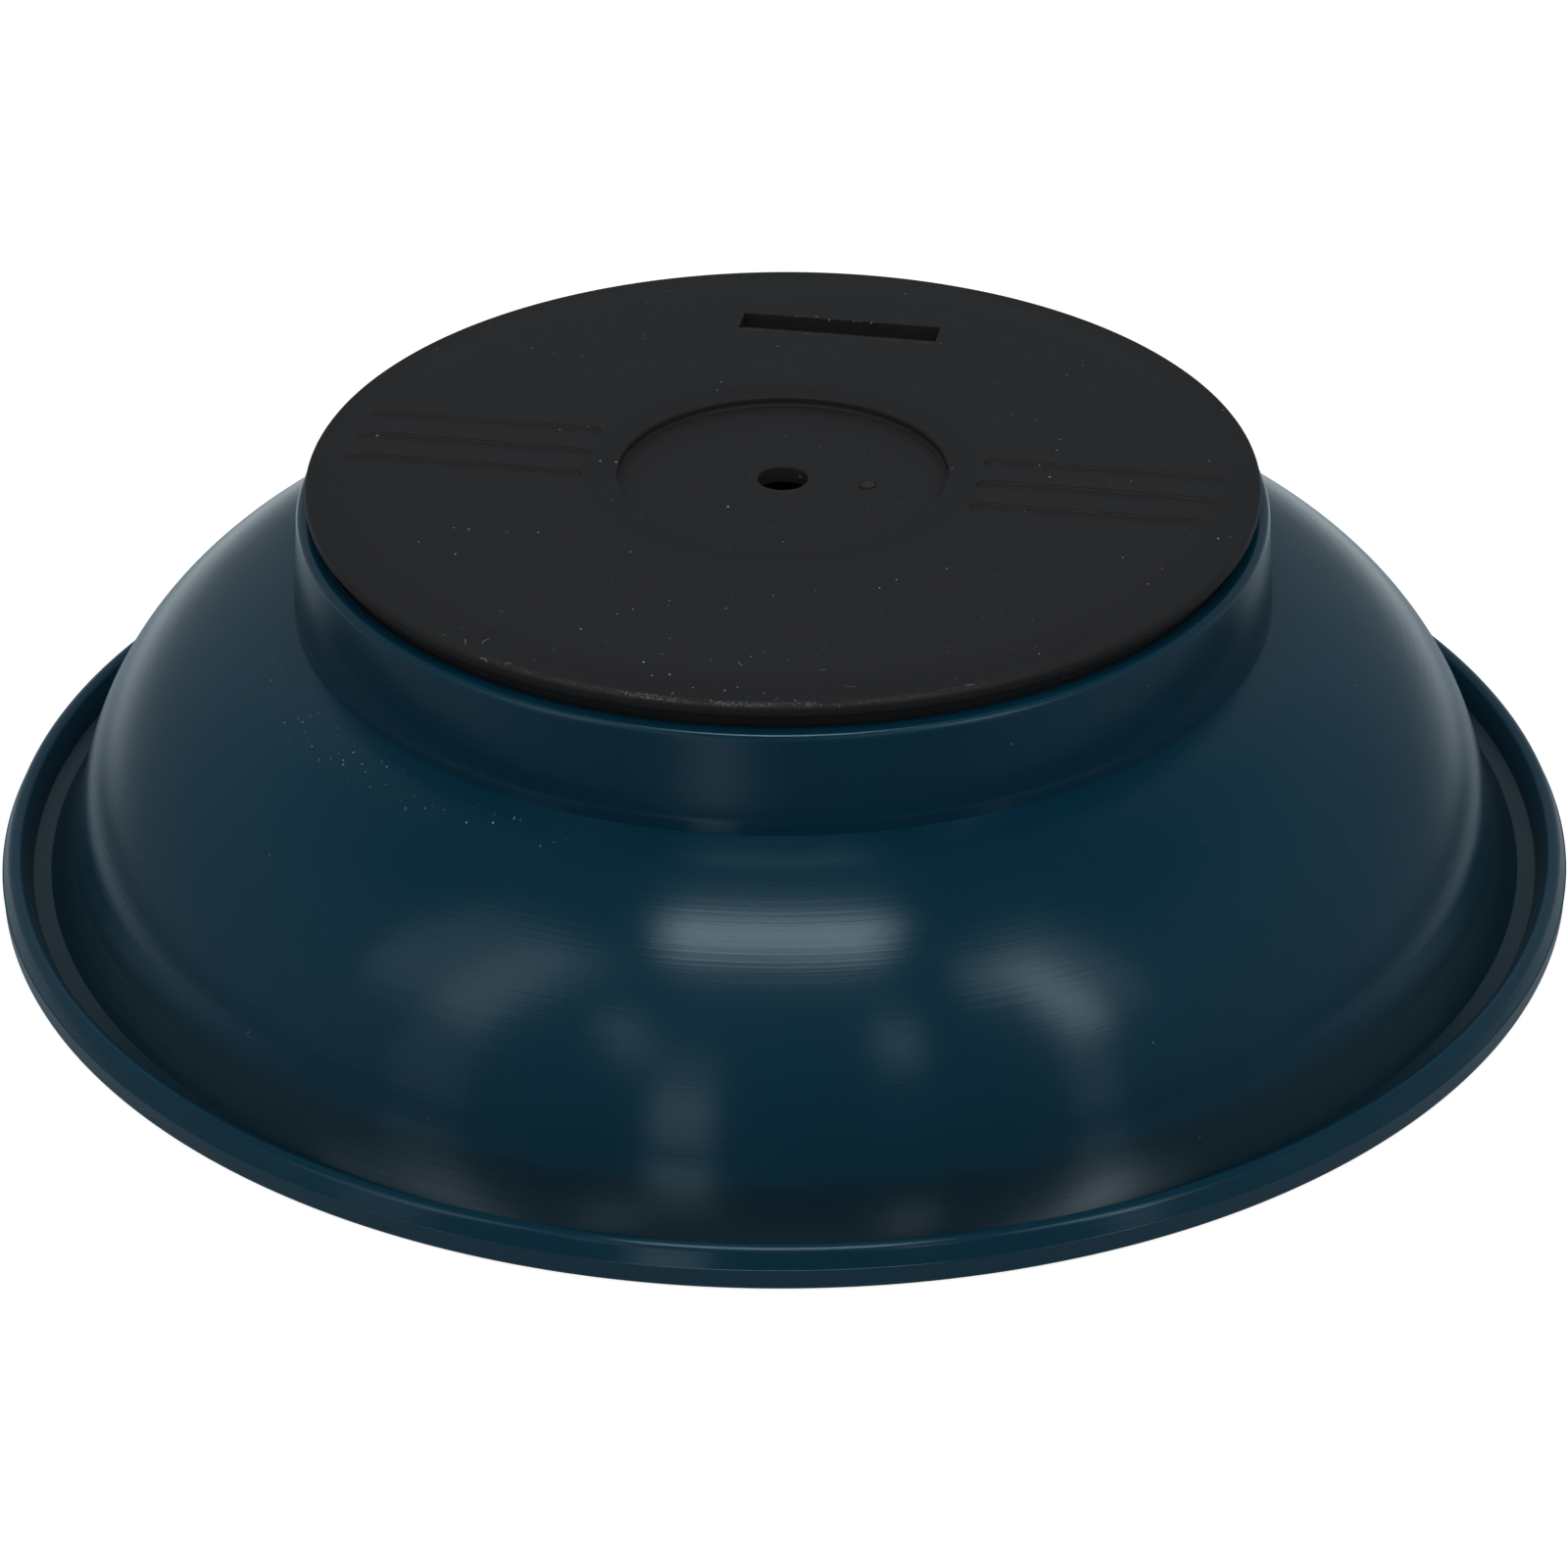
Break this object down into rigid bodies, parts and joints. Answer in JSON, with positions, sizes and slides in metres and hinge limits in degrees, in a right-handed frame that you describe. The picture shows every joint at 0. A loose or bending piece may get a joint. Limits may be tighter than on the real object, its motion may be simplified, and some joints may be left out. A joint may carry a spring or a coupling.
{
  "type": "magnetic pin bowl",
  "caption": "Round plastic pin bowl, upside down on its rim, with a ring magnet in its foot ring under a black base cover that twists to unlock.",
  "frame": {"origin": "centre of the rim's face, on the surface that the upside-down bowl stands on", "axes": "+Z is the bowl's axis, from the rim towards the base cover, so the bowl is stored upside down as pictured; +X runs along the finger grooves of the base cover and +Y points to its nail slot"},
  "size_m": [0.15, 0.15, 0.04],
  "materials": {
    "bowl_plastic": "semi-gloss deep teal moulded plastic with a fine dust and soft sheen",
    "cover_plastic": "matte black moulded plastic, finely textured, scuffed pale along its edge",
    "ferrite": "dull grey-black sintered ferrite with chalky broken edges",
    "plate_steel": "zinc-plated pressed steel",
    "screw_steel": "zinc-plated pan-head screw",
    "foam": "dark closed-cell foam"
  },
  "bodies": {
    "bowl_body": {"bowl": "bowl_plastic", "ring_magnet": "ferrite", "back_plate": "plate_steel", "magnet_screw": "screw_steel"},
    "cover_body": {"base_cover": "cover_plastic", "foam_pad": "foam"}
  },
  "joints": [
    {"name": "cover_turn", "type": "hinge", "parent": "bowl_body", "child": "cover_body", "pos_m": [0, 0, 0.036], "axis": [0, 0, 1], "range_deg": [0, 30]}
  ]
}
